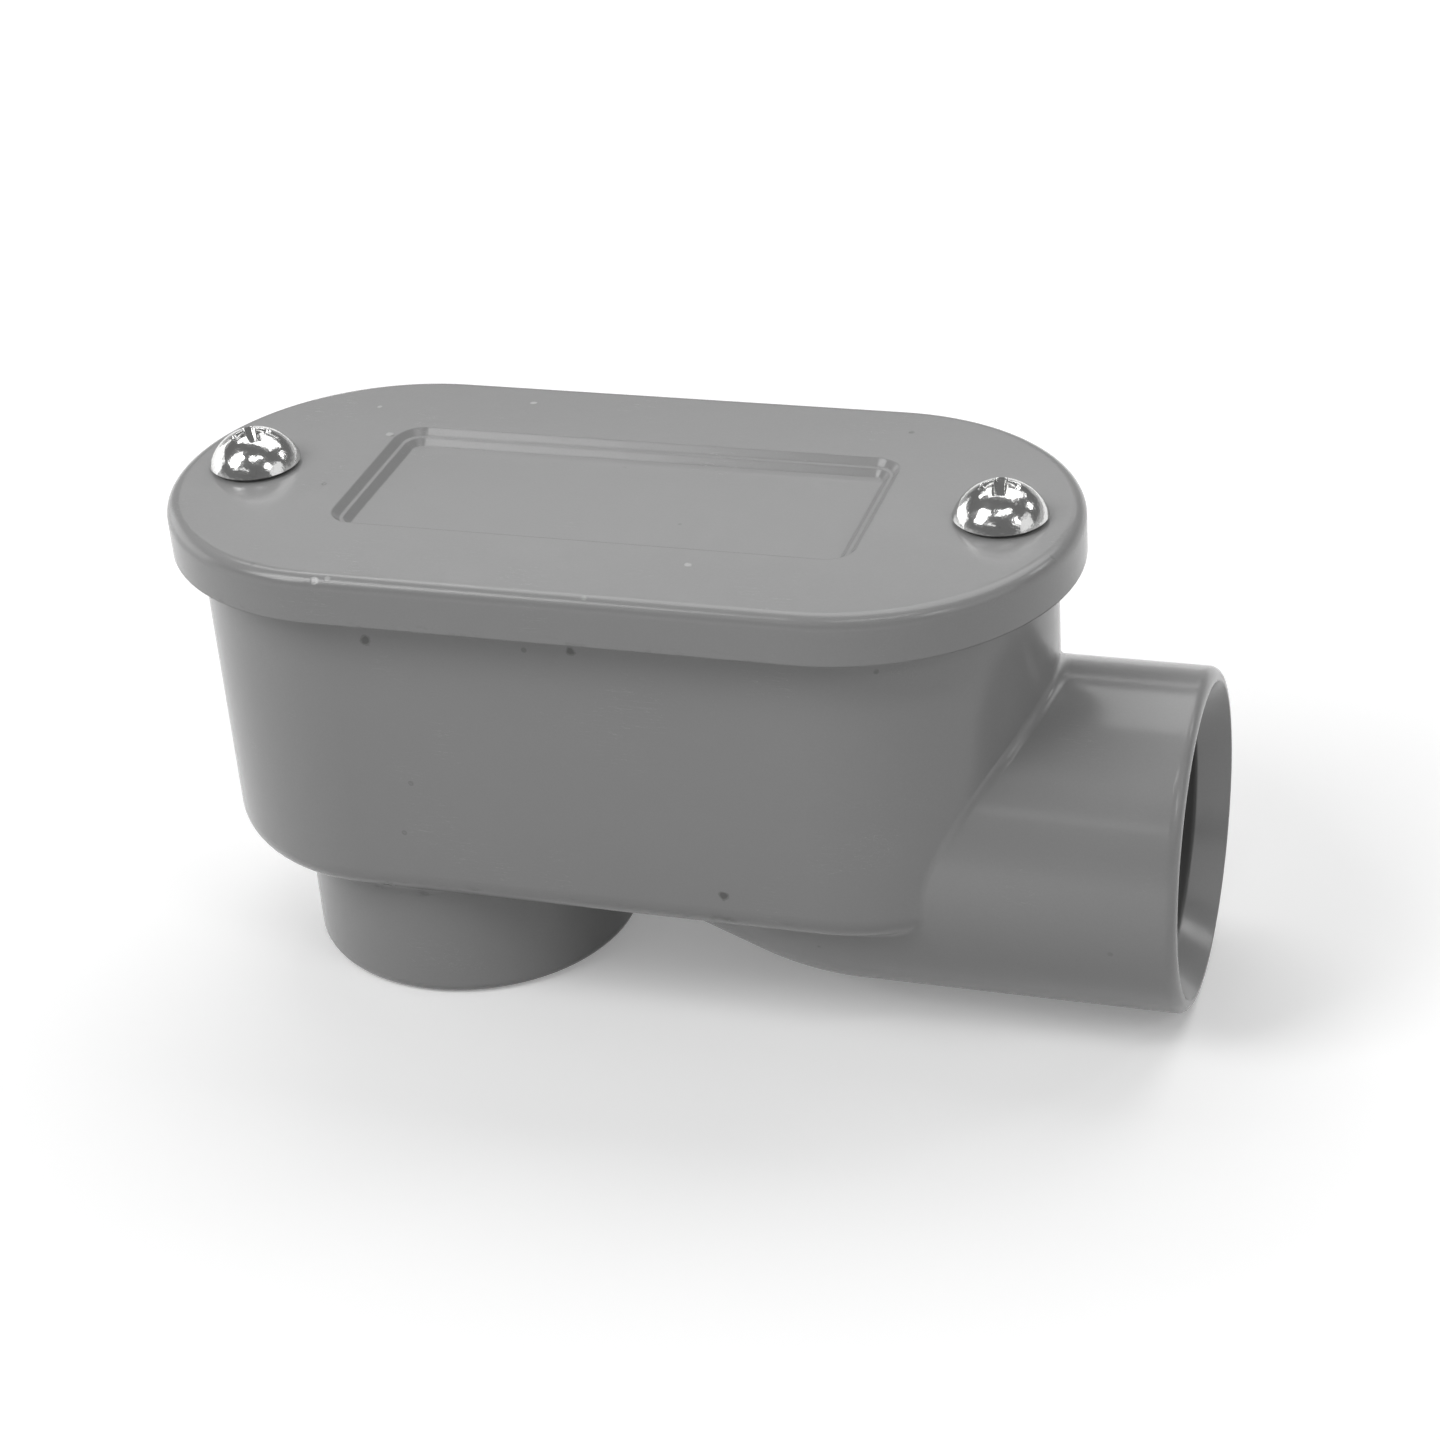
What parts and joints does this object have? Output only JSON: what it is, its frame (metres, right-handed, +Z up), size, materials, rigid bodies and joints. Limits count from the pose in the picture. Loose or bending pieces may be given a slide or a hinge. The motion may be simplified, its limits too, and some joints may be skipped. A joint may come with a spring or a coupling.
{
  "type": "conduit body",
  "caption": "Short moulded conduit body: a wiring box with one socket out of its end, one out of its back, and a screwed, gasketed cover with a sunk bare panel.",
  "frame": {"origin": "the point where the axes of the two sockets cross", "axes": "+X out of the end socket, -Z out of the back socket, +Z up to the cover, Y across the box"},
  "size_m": [0.0836, 0.036, 0.0437],
  "materials": {
    "moulded_plastic": "satin",
    "gasket_foam": "matte",
    "plated_steel": "satin"
  },
  "bodies": {
    "body": {"body": "moulded_plastic"},
    "cover": {"cover": "moulded_plastic", "cover_gasket": "gasket_foam"},
    "back_end_screw": {"cover_screw_back_end": "plated_steel"},
    "hub_end_screw": {"cover_screw_hub_end": "plated_steel"}
  },
  "joints": [
    {"name": "cover_lift", "type": "slide", "parent": "body", "child": "cover", "axis": [0, 0, 1], "range_m": [0, 0.03]},
    {"name": "back_end_screw_out", "type": "slide", "parent": "cover", "child": "back_end_screw", "axis": [0, 0, 1], "range_m": [0, 0.014]},
    {"name": "hub_end_screw_out", "type": "slide", "parent": "cover", "child": "hub_end_screw", "axis": [0, 0, 1], "range_m": [0, 0.014]}
  ]
}
